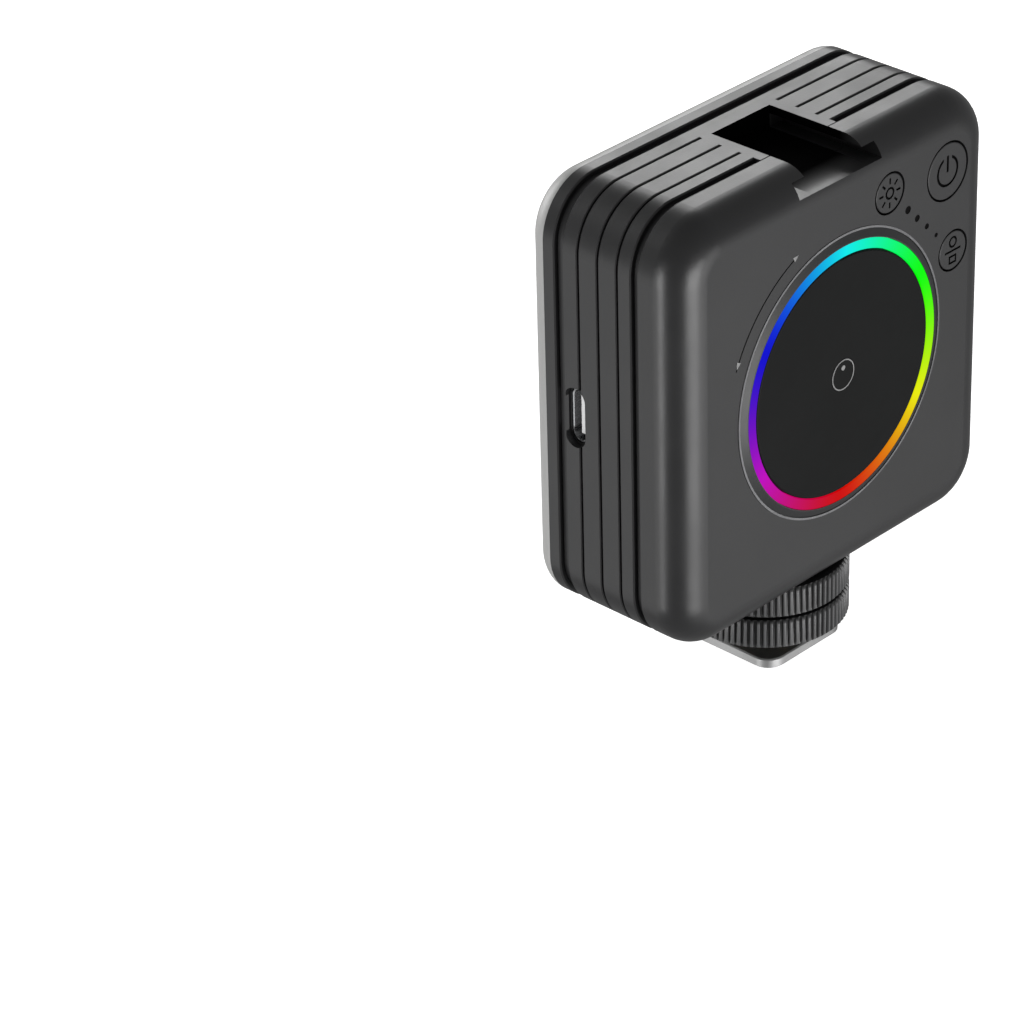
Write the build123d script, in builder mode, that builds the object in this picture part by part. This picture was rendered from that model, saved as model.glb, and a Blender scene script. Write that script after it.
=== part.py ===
from build123d import *
from math import cos, radians, sin
import os

# Pocket video light with a square diffused panel, a lit control dial and a cold-shoe adapter.
# The light stands on its shoe foot. The origin is the centre of the foot's underside, +Z is up and
# the diffuser faces -Y. All sizes are in millimetres.

# --- driving dimensions -----------------------------------------------------------------------
BODY_W = 70.0             # across the diffuser
BODY_H = 70.6
CORNER_R = 9.1            # corners seen from the front
WALL = 2.0
EDGE_R = 5.5              # round-over between the sides and the rear face

FOOT_SIZE = 17.8          # shoe foot, square
FOOT_T = 1.6
FOOT_CORNER_R = 3.0
STUD_R = 3.175            # 1/4 inch stud
THREAD_GAP = 0.05
NUT_R = 13.0
NUT_H = 4.9
NUT_TEETH = 80
NUT_CHAMFER = 0.45
KNURL_DEPTH = 0.45
LOWER_NUT_Z = 4.45        # underside of the clamping nut
NUT_GAP = 0.5             # between the two nuts
BODY_GAP = 0.25           # between the upper nut and the body

# stations along the depth, front to rear
DIFFUSER_FRONT = -16.95
DIFFUSER_SHOULDER = 8.0   # width of the rounded border around the flat of the diffuser
DIFFUSER_T = 1.6
SEAM = -11.95             # diffuser to front frame
FRAME_REAR = -9.85
HOUSING_FRONT = -8.25
HOUSING_REAR = 4.95
COVER_FRONT = 6.15
REAR = 14.6
SHADOW_GAP_DEPTH = 0.8    # depth of the two wide grooves
TONGUE = 2.75             # reach of the housing's tongues into the frame and the cover
RIB_GROOVES = (-5.25, -1.45, 2.3)
RIB_GROOVE_W = 0.34
RIB_GROOVE_DEPTH = 0.45
RIB_CHAMFER = 0.15
RIM_CHAMFER = 0.2         # where a shell ends at a wide groove

# accessory shoe slot in the top face
SLOT_FRONT = -4.95
SLOT_MOUTH_W = 12.8
SLOT_CHANNEL_W = 18.3
SLOT_CHANNEL_H = 2.25
SLOT_DEPTH = 3.55
SLOT_LAND = 2.0           # plain border between the slot and the ends of the grooves

# charging port in the +X side
PORT_Y = -6.25
PORT_V = -0.4             # height of the port's middle above the body's
PORT_RECESS = (9.8, 4.0)
PORT_RECESS_DEPTH = 1.2
PORT_SHELL = (8.94, 3.16)
PORT_LENGTH = 7.3
PORT_NOTCH_X = 26.0       # the LED board is cut away from here outwards, beside the socket

# control dial on the rear face
DIAL_R = 19.4
LIGHT_RING_R = 21.1
LIGHT_RING_INNER_R = 19.55
BEZEL_R = 22.5
TRIM_R = 22.9
DIAL_RISE = 0.5
DIAL_T = 1.6
ARC_R = 25.3

# buttons: place as seen from behind, hole radius
BUTTONS = {
    "power": (24.1, 24.15, 4.8),
    "light": (10.7, 25.55, 3.4),
    "mode": (25.8, 10.4, 3.4),
}
BUTTON_GAP = 0.3
BUTTON_TRAVEL = 0.3
ICON_DEPTH = 0.15
INDICATORS = ((15.0, 21.2, 0.65), (17.2, 19.0, 0.57), (19.5, 16.8, 0.48), (21.75, 14.5, 0.38))

# inside
LED_BOARD_FRONT = -8.6
LED_BOARD_T = 1.0
LED_PITCH = 6.8
LED_COUNT = 8
CONTROL_BOARD_FRONT = 8.2
BOARD_T = 1.0
POST_PLACES = ((-30.0, -18.5), (-30.0, 18.5), (30.0, -18.5), (30.0, 18.5))
POST_R = 2.6
BOARD_SCREW_PLACES = ((-22.0, 24.0), (-22.0, -24.0), (22.0, -24.0))

# worked-out heights and depths
UPPER_NUT_Z = LOWER_NUT_Z + NUT_H + NUT_GAP
BODY_BOTTOM = UPPER_NUT_Z + NUT_H + BODY_GAP
BODY_Z = BODY_BOTTOM + BODY_H / 2
TOP = BODY_H / 2
INNER_REAR = REAR - WALL
CONTROL_BOARD_REAR = CONTROL_BOARD_FRONT + BOARD_T
LED_BOARD_REAR = LED_BOARD_FRONT + LED_BOARD_T
DIAL_FACE = REAR + DIAL_RISE

os.makedirs("parts", exist_ok=True)


# --- shared shapes ----------------------------------------------------------------------------
def from_rear(y):
    """Plane across the body at depth y, drawn as seen from behind, with +Y as its normal."""
    return Plane(origin=(0, y, BODY_Z), x_dir=(-1, 0, 0), z_dir=(0, 1, 0))


def from_right(x):
    """Plane at x, drawn as seen from the +X side: rearward to the right, up on the page."""
    return Plane(origin=(x, 0, BODY_Z), x_dir=(0, 1, 0), z_dir=(1, 0, 0))


def slab(front, rear, inset, mode=Mode.ADD):
    """A slice of the body's rounded square, inset from the outer surface."""
    with BuildSketch(from_rear(front)) as outline:
        RectangleRounded(BODY_W - 2 * inset, BODY_H - 2 * inset, CORNER_R - inset)
    extrude(outline.sketch, amount=rear - front, mode=mode)


def block(front, rear, centre, size, mode=Mode.ADD):
    """A plain block across the body; centre and size are as seen from behind."""
    with BuildSketch(from_rear(front)) as outline:
        with Locations(centre):
            Rectangle(*size)
    extrude(outline.sketch, amount=rear - front, mode=mode)


def rods(front, rear, places, radius, mode=Mode.ADD):
    """Round bars along the depth at the given places."""
    with BuildSketch(from_rear(front)) as outline:
        with Locations(*places):
            Circle(radius)
    extrude(outline.sketch, amount=rear - front, mode=mode)


def tube(front, rear, outer, inner, mode=Mode.ADD):
    """A ring about the dial's axis."""
    with BuildSketch(from_rear(front)) as outline:
        Circle(outer)
        Circle(inner, mode=Mode.SUBTRACT)
    extrude(outline.sketch, amount=rear - front, mode=mode)


def shoe_slot(front, rear, mode=Mode.SUBTRACT):
    """T-shaped slot of the accessory shoe, from the top face down."""
    with BuildSketch(from_rear(front)) as tee:
        with Locations((0, TOP - SLOT_DEPTH)):
            Rectangle(SLOT_MOUTH_W, SLOT_DEPTH + 1, align=(Align.CENTER, Align.MIN))
            Rectangle(SLOT_CHANNEL_W, SLOT_CHANNEL_H, align=(Align.CENTER, Align.MIN))
    extrude(tee.sketch, amount=rear - front, mode=mode)


def slot_walls(front, rear, mode=Mode.SUBTRACT):
    """Material that is left around the shoe slot inside the body."""
    depth = SLOT_DEPTH + 1.3
    block(front, rear, (0, TOP - depth / 2), (SLOT_CHANNEL_W + 2.5, depth), mode)


def finish(part, label):
    part.label = label
    export_step(part, f"parts/{label}.step")


# --- front: diffuser, frame, light box --------------------------------------------------------
def dome_sections(front, depth, shoulder, inset):
    """Rounded squares that shrink along a quarter ellipse from the seam to the front."""
    for angle in (0, 20, 38, 54, 68, 80, 90):
        shrink = inset + shoulder * (1 - cos(radians(angle)))
        yield front + depth * (1 - sin(radians(angle))), shrink


def dome(seam, front, shoulder, inset, mode=Mode.ADD):
    sections = []
    for y, shrink in dome_sections(front, seam - front, shoulder, inset):
        with BuildSketch(from_rear(y)) as section:
            RectangleRounded(BODY_W - 2 * shrink, BODY_H - 2 * shrink, CORNER_R - shrink)
        sections.append(section.sketch.face())
    loft(sections, mode=mode)


with BuildPart() as diffuser:
    dome(SEAM, DIFFUSER_FRONT, DIFFUSER_SHOULDER, 0)
    slab(SEAM, FRAME_REAR - 0.2, WALL + 0.05)
    dome(SEAM, DIFFUSER_FRONT + DIFFUSER_T, 4.5, WALL + 1.3, mode=Mode.SUBTRACT)
    slab(SEAM, FRAME_REAR, WALL + 1.3, mode=Mode.SUBTRACT)
finish(diffuser.part, "diffuser")

with BuildPart() as front_frame:
    slab(SEAM, FRAME_REAR, 0)
    slab(SEAM, FRAME_REAR, WALL, mode=Mode.SUBTRACT)
    slab(HOUSING_FRONT - TONGUE, FRAME_REAR, SHADOW_GAP_DEPTH, mode=Mode.SUBTRACT)
    rear_outline = front_frame.faces().filter_by(Axis.Y).sort_by(Axis.Y)[-1].outer_wire().edges()
    chamfer(rear_outline, length=RIM_CHAMFER)
finish(front_frame.part, "front_frame")

with BuildPart() as led_board:
    slab(LED_BOARD_FRONT, LED_BOARD_REAR, WALL + 0.3)
    rods(LED_BOARD_FRONT, LED_BOARD_REAR, POST_PLACES, 1.2, mode=Mode.SUBTRACT)
    # notch beside the charging socket
    notch_size = (2 * (BODY_W / 2 - PORT_NOTCH_X), PORT_SHELL[0] + 0.8)
    block(LED_BOARD_FRONT, LED_BOARD_REAR, (-BODY_W / 2, PORT_V), notch_size, mode=Mode.SUBTRACT)
finish(led_board.part, "led_board")


def led_places(parity):
    """Every second place of the LED grid, as on a chessboard."""
    span = LED_PITCH * (LED_COUNT - 1) / 2
    return [
        (column * LED_PITCH - span, row * LED_PITCH - span)
        for column in range(LED_COUNT)
        for row in range(LED_COUNT)
        if (column + row) % 2 == parity
    ]


def led_chips(parity, size):
    with BuildSketch(from_rear(LED_BOARD_FRONT - 0.7)) as chips:
        with Locations(*led_places(parity)):
            Rectangle(*size)
    extrude(chips.sketch, amount=0.7)


with BuildPart() as white_leds:
    led_chips(0, (2.8, 3.5))
finish(white_leds.part, "white_leds")

with BuildPart() as color_leds:
    led_chips(1, (3.2, 3.0))
finish(color_leds.part, "color_leds")

TRAY_BASE = 26.5          # half width of the light box at the board
TRAY_MOUTH = 31.2
TRAY_FRONT = SEAM + 0.05
with BuildPart() as reflector_tray:
    for inset in (0, 0.8):
        with BuildSketch(from_rear(LED_BOARD_FRONT - 0.05 - 0.5 * (inset > 0))) as base:
            RectangleRounded(2 * (TRAY_BASE - inset), 2 * (TRAY_BASE - inset), 4)
        with BuildSketch(from_rear(TRAY_FRONT)) as mouth:
            RectangleRounded(2 * (TRAY_MOUTH - inset), 2 * (TRAY_MOUTH - inset), 6)
        walls = Mode.ADD if inset == 0 else Mode.SUBTRACT
        loft([base.sketch.face(), mouth.sketch.face()], mode=walls)
    with BuildSketch(from_rear(LED_BOARD_FRONT - 1)) as windows:
        with Locations(*led_places(0), *led_places(1)):
            Rectangle(3.8, 4.1)
    extrude(windows.sketch, amount=1, mode=Mode.SUBTRACT)
finish(reflector_tray.part, "reflector_tray")

# --- middle housing with ribs, shoe slot, port and stud boss ----------------------------------
BOSS_TOP = -BODY_H / 2 + 9.5
with BuildPart() as housing_cavity:
    slab(HOUSING_FRONT - TONGUE, HOUSING_REAR + TONGUE, WALL)
    slot_walls(SLOT_FRONT - 1.0, HOUSING_REAR + TONGUE)
    block(-6.5, HOUSING_REAR + TONGUE, (0, BOSS_TOP - 5), (14, 10), mode=Mode.SUBTRACT)

def on_outer_surface(edge):
    """True for an edge along the body's outline, false for one inside a groove."""
    middle = edge.position_at(0.5)
    if edge.geom_type == GeomType.CIRCLE:
        return edge.radius > CORNER_R - 0.05
    return abs(middle.X) > BODY_W / 2 - 0.05 or abs(middle.Z - BODY_Z) > BODY_H / 2 - 0.05


with BuildPart() as mid_housing:
    slab(HOUSING_FRONT, HOUSING_REAR, 0)
    chamfer(mid_housing.edges().filter_by(Axis.Y, reverse=True), length=RIM_CHAMFER)
    slab(HOUSING_FRONT - TONGUE, HOUSING_REAR + TONGUE, SHADOW_GAP_DEPTH + 0.05)
    land_w = SLOT_MOUTH_W + 2 * SLOT_LAND
    block(HOUSING_REAR - 1, COVER_FRONT - 0.03, (0, TOP - 1), (land_w, 2))
    for y in RIB_GROOVES:
        with BuildSketch(from_rear(y - RIB_GROOVE_W / 2)) as groove:
            RectangleRounded(BODY_W + 2, BODY_H + 2, CORNER_R + 1)
            RectangleRounded(
                BODY_W - 2 * RIB_GROOVE_DEPTH,
                BODY_H - 2 * RIB_GROOVE_DEPTH,
                CORNER_R - RIB_GROOVE_DEPTH,
                mode=Mode.SUBTRACT,
            )
            with Locations((0, TOP)):
                Rectangle(land_w, 8, mode=Mode.SUBTRACT)
        extrude(groove.sketch, amount=RIB_GROOVE_W, mode=Mode.SUBTRACT)
        for side in (y - RIB_GROOVE_W / 2, y + RIB_GROOVE_W / 2):
            lips = mid_housing.edges().filter_by_position(Axis.Y, side - 0.01, side + 0.01)
            chamfer(lips.filter_by(on_outer_surface), length=RIB_CHAMFER)
    add(housing_cavity.part, mode=Mode.SUBTRACT)
    shoe_slot(SLOT_FRONT, HOUSING_REAR + TONGUE + 1)
    with BuildSketch(from_right(BODY_W / 2 - PORT_RECESS_DEPTH)) as port_recess:
        with Locations((PORT_Y, PORT_V)):
            SlotOverall(*PORT_RECESS, rotation=90)
    extrude(port_recess.sketch, amount=PORT_RECESS_DEPTH + 1, mode=Mode.SUBTRACT)
    with BuildSketch(from_right(BODY_W / 2 - WALL - 1)) as port_window:
        with Locations((PORT_Y, PORT_V)):
            SlotOverall(PORT_SHELL[0] + 0.3, PORT_SHELL[1] + 0.3, rotation=90)
    extrude(port_window.sketch, amount=WALL + 1, mode=Mode.SUBTRACT)
    with BuildSketch(Plane.XY.offset(BODY_BOTTOM)) as insert_hole:
        Circle(4.25)
    extrude(insert_hole.sketch, amount=8.7, mode=Mode.SUBTRACT)
finish(mid_housing.part, "mid_housing")

with BuildPart() as tripod_insert:
    with BuildSketch(Plane.XY.offset(BODY_BOTTOM + 0.1)):
        Circle(4.2)
        Circle(STUD_R + THREAD_GAP, mode=Mode.SUBTRACT)
    extrude(amount=8.4)
finish(tripod_insert.part, "tripod_insert")

# --- rear cover -------------------------------------------------------------------------------
with BuildPart() as cover_cavity:
    slab(COVER_FRONT, INNER_REAR, WALL)
    inner_rear_face = cover_cavity.faces().filter_by(Axis.Y).sort_by(Axis.Y)[-1]
    fillet(inner_rear_face.edges(), radius=EDGE_R - WALL)
    slot_walls(HOUSING_REAR + TONGUE + 0.05, REAR)
    rods(CONTROL_BOARD_REAR, REAR, BOARD_SCREW_PLACES, 2.2, mode=Mode.SUBTRACT)

with BuildPart() as rear_cover:
    slab(COVER_FRONT, REAR, 0)
    front_outline = rear_cover.faces().filter_by(Axis.Y).sort_by(Axis.Y)[0].edges()
    chamfer(front_outline, length=RIM_CHAMFER)
    rear_face = rear_cover.faces().filter_by(Axis.Y).sort_by(Axis.Y)[-1]
    fillet(rear_face.edges(), radius=EDGE_R)
    add(cover_cavity.part, mode=Mode.SUBTRACT)
    slab(COVER_FRONT, HOUSING_REAR + TONGUE + 0.05, SHADOW_GAP_DEPTH, mode=Mode.SUBTRACT)
    rods(LED_BOARD_REAR + 0.1, INNER_REAR + 0.5, POST_PLACES, POST_R)
    rods(LED_BOARD_REAR, 4.0, POST_PLACES, 1.1, mode=Mode.SUBTRACT)
    rods(CONTROL_BOARD_FRONT, 12.0, BOARD_SCREW_PLACES, 0.85, mode=Mode.SUBTRACT)
    shoe_slot(SLOT_FRONT, REAR + 1)
    rods(INNER_REAR - 1, REAR + 1, [(0, 0)], BEZEL_R - 0.8, mode=Mode.SUBTRACT)
    tube(REAR - 0.25, REAR + 1, TRIM_R, BEZEL_R, mode=Mode.SUBTRACT)
    for u, v, radius in BUTTONS.values():
        rods(INNER_REAR - 1, REAR + 1, [(u, v)], radius, mode=Mode.SUBTRACT)
    for u, v, radius in INDICATORS:
        rods(INNER_REAR - 1, REAR + 1, [(u, v)], radius, mode=Mode.SUBTRACT)
    with BuildSketch(from_rear(REAR - ICON_DEPTH)) as turn_arc:
        with BuildLine(mode=Mode.PRIVATE) as arc_path:
            CenterArc((0, 0), ARC_R, 113, 44)
        SlotArc(arc_path.edge(), height=0.26)
    extrude(turn_arc.sketch, amount=1, mode=Mode.SUBTRACT)
finish(rear_cover.part, "rear_cover")

for index, place in enumerate(POST_PLACES, start=1):
    with BuildPart() as housing_screw:
        rods(LED_BOARD_FRONT - 0.9, LED_BOARD_FRONT, [place], 1.85)
        rods(LED_BOARD_FRONT, 2.0, [place], 1.0)
        block(LED_BOARD_FRONT - 0.9, LED_BOARD_FRONT - 0.4, place, (2.2, 0.45), mode=Mode.SUBTRACT)
        block(LED_BOARD_FRONT - 0.9, LED_BOARD_FRONT - 0.4, place, (0.45, 2.2), mode=Mode.SUBTRACT)
    finish(housing_screw.part, f"housing_screw_{index}")

# --- dial group -------------------------------------------------------------------------------
with BuildPart() as dial_trim_ring:
    tube(REAR - 0.25, REAR + 0.1, TRIM_R - 0.02, BEZEL_R + 0.05)
finish(dial_trim_ring.part, "dial_trim_ring")

with BuildPart() as dial_bezel:
    with BuildSketch(Plane(origin=(0, 0, BODY_Z), x_dir=(1, 0, 0), z_dir=(0, 0, 1))) as bezel_half:
        with BuildLine():
            Polyline(
                (LIGHT_RING_R + 0.1, INNER_REAR),
                (BEZEL_R - 0.85, INNER_REAR),
                (BEZEL_R - 0.85, REAR),
                (BEZEL_R, REAR),
                (LIGHT_RING_R + 0.25, DIAL_FACE),
                (LIGHT_RING_R + 0.1, DIAL_FACE),
                close=True,
            )
        make_face()
    revolve(bezel_half.sketch, axis=Axis((0, 0, BODY_Z), (0, 1, 0)))
finish(dial_bezel.part, "dial_bezel")

with BuildPart() as ring_light_guide:
    tube(CONTROL_BOARD_REAR + 1.2, DIAL_FACE, LIGHT_RING_R, LIGHT_RING_INNER_R)
finish(ring_light_guide.part, "ring_light_guide")

with BuildPart() as dial_carrier:
    tube(11.2, 12.2, LIGHT_RING_INNER_R - 0.05, 6.4)
finish(dial_carrier.part, "dial_carrier")

with BuildPart() as dial:
    rods(DIAL_FACE - DIAL_T, DIAL_FACE, [(0, 0)], DIAL_R)
    face_rim = dial.faces().filter_by(Axis.Y).sort_by(Axis.Y)[-1].edges()
    fillet(face_rim, radius=0.3)
    rods(11.35, DIAL_FACE - DIAL_T, [(0, 0)], 5.8)
    rods(11.35, 13.3, [(0, 0)], 2.55, mode=Mode.SUBTRACT)
    rods(DIAL_FACE - 0.12, DIAL_FACE, [(0, 0)], 2.6, mode=Mode.SUBTRACT)
finish(dial.part, "dial")

with BuildPart() as dial_badge:
    rods(DIAL_FACE - 0.12, DIAL_FACE + 0.03, [(0, 0)], 2.55)
finish(dial_badge.part, "dial_badge")

with BuildPart() as encoder_shaft:
    rods(11.1, 13.25, [(0, 0)], 2.5)
finish(encoder_shaft.part, "encoder_shaft")


# --- buttons ----------------------------------------------------------------------------------
def power_icon(u, v):
    """Open ring with an upright bar."""
    with BuildSketch(from_rear(REAR - ICON_DEPTH)) as icon:
        with Locations((u, v)):
            Circle(2.5)
            Circle(2.06, mode=Mode.SUBTRACT)
        with Locations((u, v + 2.0)):
            Rectangle(1.9, 2.0, mode=Mode.SUBTRACT)
        with Locations((u, v + 1.2)):
            Rectangle(0.46, 2.7)
    extrude(icon.sketch, amount=1, mode=Mode.SUBTRACT)


def light_icon(u, v):
    """Small sun: a ring with eight rays."""
    with BuildSketch(from_rear(REAR - ICON_DEPTH)) as icon:
        with Locations((u, v)):
            Circle(1.0)
            Circle(0.64, mode=Mode.SUBTRACT)
            with PolarLocations(1.95, 8):
                Rectangle(0.95, 0.36)
    extrude(icon.sketch, amount=1, mode=Mode.SUBTRACT)


def mode_icon(u, v):
    """A ring above a bar above a small square."""
    with BuildSketch(from_rear(REAR - ICON_DEPTH)) as icon:
        with Locations((u, v + 1.4)):
            Circle(0.95)
            Circle(0.6, mode=Mode.SUBTRACT)
        with Locations((u, v - 0.05)):
            Rectangle(3.7, 0.36)
        with Locations((u, v - 1.5)):
            Rectangle(1.8, 1.4)
            Rectangle(1.1, 0.7, mode=Mode.SUBTRACT)
    extrude(icon.sketch, amount=1, mode=Mode.SUBTRACT)


SWITCH_TOP = CONTROL_BOARD_REAR + 1.2
ICONS = {"power": power_icon, "light": light_icon, "mode": mode_icon}
for name, (u, v, hole_r) in BUTTONS.items():
    with BuildPart() as button:
        rods(INNER_REAR - 0.4, REAR, [(u, v)], hole_r - BUTTON_GAP)
        cap_rim = button.faces().filter_by(Axis.Y).sort_by(Axis.Y)[-1].edges()
        fillet(cap_rim, radius=0.15)
        rods(INNER_REAR - 0.85, INNER_REAR - 0.1, [(u, v)], hole_r + 0.35)
        rods(SWITCH_TOP + BUTTON_TRAVEL + 0.05, INNER_REAR - 0.85, [(u, v)], 1.1)
        ICONS[name](u, v)
    finish(button.part, f"{name}_button")

    with BuildPart() as tact_switch:
        block(CONTROL_BOARD_REAR, CONTROL_BOARD_REAR + 0.8, (u, v), (4.4, 4.4))
        rods(CONTROL_BOARD_REAR + 0.8, SWITCH_TOP, [(u, v)], 1.0)
    finish(tact_switch.part, f"tact_switch_{name}")

for index, (u, v, radius) in enumerate(INDICATORS, start=1):
    with BuildPart() as indicator_lens:
        rods(CONTROL_BOARD_REAR + 0.7, REAR - 0.06, [(u, v)], radius - 0.04)
    finish(indicator_lens.part, f"indicator_lens_{index}")

# --- boards, battery, port --------------------------------------------------------------------
with BuildPart() as control_board:
    with BuildSketch(from_rear(CONTROL_BOARD_FRONT)):
        RectangleRounded(53.6, 58, 3)
        with Locations(*BOARD_SCREW_PLACES):
            Circle(0.9, mode=Mode.SUBTRACT)
    extrude(amount=BOARD_T)
finish(control_board.part, "control_board")

for index, place in enumerate(BOARD_SCREW_PLACES, start=1):
    with BuildPart() as board_screw:
        rods(CONTROL_BOARD_FRONT - 0.8, CONTROL_BOARD_FRONT, [place], 1.5)
        rods(CONTROL_BOARD_FRONT, 11.6, [place], 0.75)
    finish(board_screw.part, f"board_screw_{index}")

RING_LED_R = (LIGHT_RING_R + LIGHT_RING_INNER_R) / 2
with BuildPart() as ring_leds:
    with BuildSketch(from_rear(CONTROL_BOARD_REAR)):
        with PolarLocations(RING_LED_R, 16, start_angle=11.25):
            Rectangle(1.6, 1.6)
    extrude(amount=1.0)
finish(ring_leds.part, "ring_leds")

with BuildPart() as indicator_leds:
    with BuildSketch(from_rear(CONTROL_BOARD_REAR)):
        with Locations(*[(u, v) for u, v, radius in INDICATORS]):
            Rectangle(1.0, 0.6)
    extrude(amount=0.5)
finish(indicator_leds.part, "indicator_leds")

with BuildPart() as encoder_body:
    block(CONTROL_BOARD_REAR, CONTROL_BOARD_REAR + 1.7, (0, 0), (11.5, 11.5))
    chamfer(encoder_body.edges().filter_by(Axis.Y), length=1.2)
finish(encoder_body.part, "encoder_body")

BATTERY_FRONT = LED_BOARD_REAR + 0.4
with BuildPart() as battery_pack:
    block(BATTERY_FRONT, BATTERY_FRONT + 9.5, (9.5, 0), (34, 50))
    fillet(battery_pack.edges().filter_by(Axis.Z), radius=2.5)
finish(battery_pack.part, "battery_pack")

with BuildPart() as battery_tape:
    block(LED_BOARD_REAR, BATTERY_FRONT, (9.5, 0), (26, 40))
finish(battery_tape.part, "battery_tape")

PORT_MOUTH = BODY_W / 2 - PORT_RECESS_DEPTH - 0.1
MAIN_BOARD_FRONT = PORT_Y + PORT_SHELL[1] / 2 + 0.05
with BuildPart() as usb_connector:
    with BuildSketch(from_right(PORT_MOUTH - PORT_LENGTH)):
        with Locations((PORT_Y, PORT_V)):
            SlotOverall(*PORT_SHELL, rotation=90)
    extrude(amount=PORT_LENGTH)
    with BuildSketch(from_right(PORT_MOUTH - PORT_LENGTH + 0.6)):
        with Locations((PORT_Y, PORT_V)):
            SlotOverall(PORT_SHELL[0] - 0.6, PORT_SHELL[1] - 0.6, rotation=90)
    extrude(amount=PORT_LENGTH, mode=Mode.SUBTRACT)
finish(usb_connector.part, "usb_connector")

with BuildPart() as usb_tongue:
    with BuildSketch(from_right(PORT_MOUTH - PORT_LENGTH + 0.6)):
        with Locations((PORT_Y, PORT_V)):
            Rectangle(0.7, 6.6)
    extrude(amount=PORT_LENGTH - 1.1)
finish(usb_tongue.part, "usb_tongue")

with BuildPart() as main_board:
    block(MAIN_BOARD_FRONT, MAIN_BOARD_FRONT + BOARD_T, (-20.3, 0), (23.5, 29))
finish(main_board.part, "main_board")

with BuildPart() as main_board_parts:
    rear_side = MAIN_BOARD_FRONT + BOARD_T
    block(rear_side, rear_side + 2.8, (-14.5, 7), (6, 6))
    block(rear_side, rear_side + 1.1, (-22, 7), (5, 6))
    block(rear_side, rear_side + 1.6, (-15, -8), (7, 5))
    block(rear_side, rear_side + 0.9, (-26, -8), (4, 4))
finish(main_board_parts.part, "main_board_parts")


# --- shoe adapter -----------------------------------------------------------------------------
with BuildPart() as shoe_foot:
    with BuildSketch(Plane.XY):
        RectangleRounded(FOOT_SIZE, FOOT_SIZE, FOOT_CORNER_R)
    extrude(amount=FOOT_T)
    chamfer(shoe_foot.faces().sort_by(Axis.Z)[-1].edges(), length=0.2)
    chamfer(shoe_foot.faces().sort_by(Axis.Z)[0].edges(), length=0.12)
    with BuildSketch(Plane.XY.offset(FOOT_T - 0.9)):
        Circle(STUD_R + 0.08)
    extrude(amount=0.9, mode=Mode.SUBTRACT)
finish(shoe_foot.part, "shoe_foot")

with BuildPart() as shoe_stud:
    with BuildSketch(Plane.XY.offset(FOOT_T - 0.9)):
        Circle(STUD_R)
    extrude(amount=BODY_BOTTOM + 6.5 - (FOOT_T - 0.9))
    chamfer(shoe_stud.faces().sort_by(Axis.Z)[-1].edges(), length=0.6)
finish(shoe_stud.part, "shoe_stud")

INSERT_R = 4.4


def knurled_wheel(bottom):
    """Round wheel with straight ribs on its rim and a bore for its threaded bush."""
    with BuildSketch(Plane.XY.offset(bottom)) as disc:
        Circle(NUT_R)
    extrude(disc.sketch, amount=NUT_H)
    chamfer(edges().filter_by(GeomType.CIRCLE), length=NUT_CHAMFER)
    tooth_pitch = 360 / NUT_TEETH
    with BuildSketch(Plane.XY.offset(bottom - 0.1)) as flutes:
        with PolarLocations(NUT_R + 0.12, NUT_TEETH, start_angle=tooth_pitch / 2):
            Rectangle(2 * KNURL_DEPTH, 0.5)
    extrude(flutes.sketch, amount=NUT_H + 0.2, mode=Mode.SUBTRACT)
    with BuildSketch(Plane.XY.offset(bottom)) as bore:
        Circle(INSERT_R + 0.06)
    extrude(bore.sketch, amount=NUT_H, mode=Mode.SUBTRACT)


def threaded_bush(bottom, height):
    with BuildSketch(Plane.XY.offset(bottom)) as ring:
        Circle(INSERT_R)
        Circle(STUD_R + THREAD_GAP, mode=Mode.SUBTRACT)
    extrude(ring.sketch, amount=height)


with BuildPart() as lower_nut:
    knurled_wheel(LOWER_NUT_Z)
    with BuildSketch(Plane.XY.offset(LOWER_NUT_Z)):
        Circle(9.2)
        Circle(5.6, mode=Mode.SUBTRACT)
    extrude(amount=1.8, mode=Mode.SUBTRACT)
    with BuildSketch(Plane.XY.offset(LOWER_NUT_Z)):
        Circle(5.6)
    extrude(amount=0.8, mode=Mode.SUBTRACT)
finish(lower_nut.part, "lower_nut")

with BuildPart() as lower_nut_bush:
    threaded_bush(LOWER_NUT_Z + 0.8, NUT_H - 1.0)
finish(lower_nut_bush.part, "lower_nut_bush")

with BuildPart() as upper_nut:
    knurled_wheel(UPPER_NUT_Z)
    with BuildSketch(Plane.XY.offset(UPPER_NUT_Z + NUT_H - 0.6)):
        Circle(10.5)
        Circle(6.5, mode=Mode.SUBTRACT)
    extrude(amount=0.6, mode=Mode.SUBTRACT)
finish(upper_nut.part, "upper_nut")

with BuildPart() as upper_nut_bush:
    threaded_bush(UPPER_NUT_Z + 0.2, NUT_H - 0.4)
finish(upper_nut_bush.part, "upper_nut_bush")

with BuildPart() as nut_pad:
    with BuildSketch(Plane.XY.offset(UPPER_NUT_Z + NUT_H - 0.6)):
        Circle(10.4)
        Circle(6.6, mode=Mode.SUBTRACT)
    extrude(amount=0.62)
finish(nut_pad.part, "nut_pad")
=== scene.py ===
import bpy
import math
from math import cos, pi, radians, sin
from mathutils import Matrix, Vector


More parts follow.
